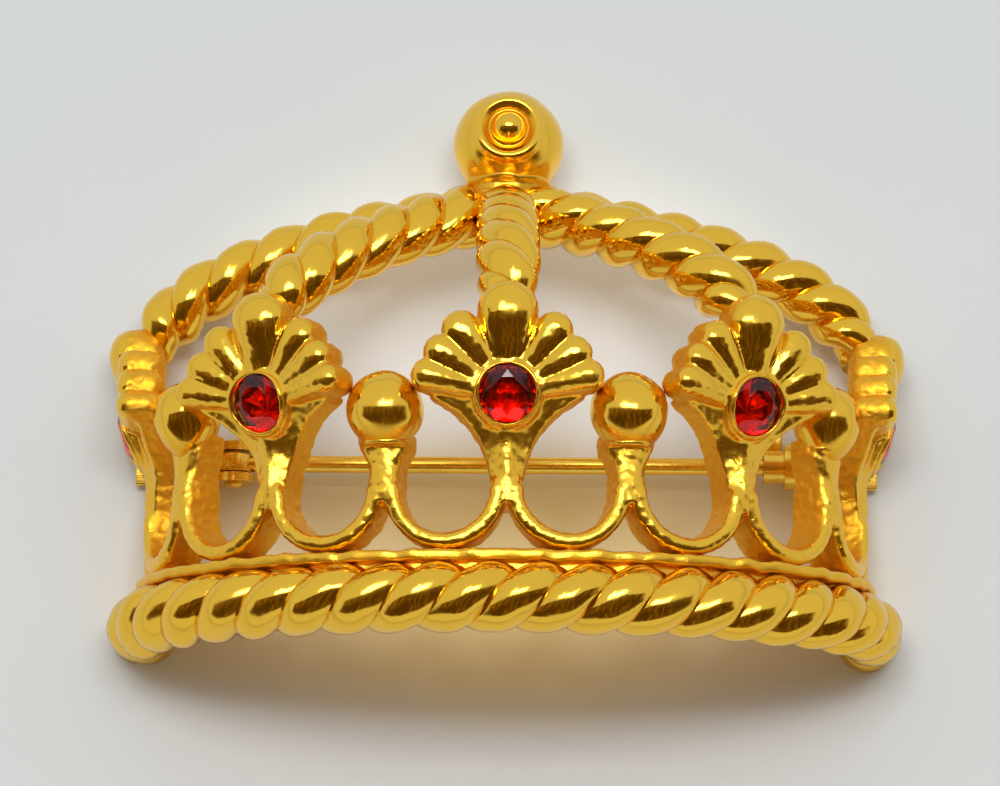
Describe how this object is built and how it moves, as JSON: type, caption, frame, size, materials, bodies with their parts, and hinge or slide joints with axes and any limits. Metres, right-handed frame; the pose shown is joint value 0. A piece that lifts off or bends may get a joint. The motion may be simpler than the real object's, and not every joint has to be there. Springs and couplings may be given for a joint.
{
  "type": "crown brooch",
  "caption": "Half-crown brooch in the round: twisted rim, open gallery, stone-set fleurons, rope arches under an orb, and a hinged pin with a turning catch across the open back.",
  "frame": {"origin": "under the middle of the whole brooch, on the surface that it lies on", "axes": "+X along the rim towards the catch, +Y from the rim to the orb, +Z out of the open back towards the front of the crown"},
  "size_m": [0.0468, 0.0344, 0.0184],
  "materials": {
    "gold_plate": "polished yellow gold plate over a cast base, bright on raised faces and rough in the filed openings",
    "stone": "faceted red glass, foiled behind",
    "findings": "gold-plated wire and strip, slightly softer polish than the casting"
  },
  "bodies": {
    "root": {"rim_rope": "gold_plate", "rim_ledge": "gold_plate", "gallery_loop_1": "gold_plate", "gallery_loop_2": "gold_plate", "gallery_loop_3": "gold_plate", "gallery_loop_4": "gold_plate", "gallery_loop_5": "gold_plate", "gallery_loop_6": "gold_plate", "gallery_loop_7": "gold_plate", "gallery_loop_8": "gold_plate", "gallery_loop_9": "gold_plate", "gallery_loop_10": "gold_plate", "ball_post_outer_left": "gold_plate", "ball_outer_left": "gold_plate", "ball_post_inner_left": "gold_plate", "ball_inner_left": "gold_plate", "ball_post_inner_right": "gold_plate", "ball_inner_right": "gold_plate", "ball_post_outer_right": "gold_plate", "ball_outer_right": "gold_plate", "fleuron_end_left": "gold_plate", "stone_end_left": "stone", "fleuron_front_left": "gold_plate", "stone_front_left": "stone", "fleuron_centre": "gold_plate", "stone_centre": "stone", "fleuron_front_right": "gold_plate", "stone_front_right": "stone", "fleuron_end_right": "gold_plate", "stone_end_right": "stone", "arch_centre": "gold_plate", "arch_end_left": "gold_plate", "arch_end_right": "gold_plate", "arch_front_left": "gold_plate", "arch_front_right": "gold_plate", "crossing_boss": "gold_plate", "orb_collar": "gold_plate", "orb": "gold_plate", "pin_joint": "findings", "hinge_rivet": "findings", "catch_hook": "findings"},
    "pin": {"pin_stem": "findings"},
    "catch_lock": {"catch_sleeve": "findings"}
  },
  "joints": [
    {"name": "pin_swing", "type": "hinge", "parent": "root", "child": "pin", "pos_m": [-0.0161, -0.00503, 0.00175], "axis": [0, 1, 0], "range_deg": [0, 85]},
    {"name": "catch_turn", "type": "hinge", "parent": "root", "child": "catch_lock", "pos_m": [0.0165, -0.00503, 0.00175], "axis": [1, 0, 0], "range_deg": [0, 100]}
  ]
}
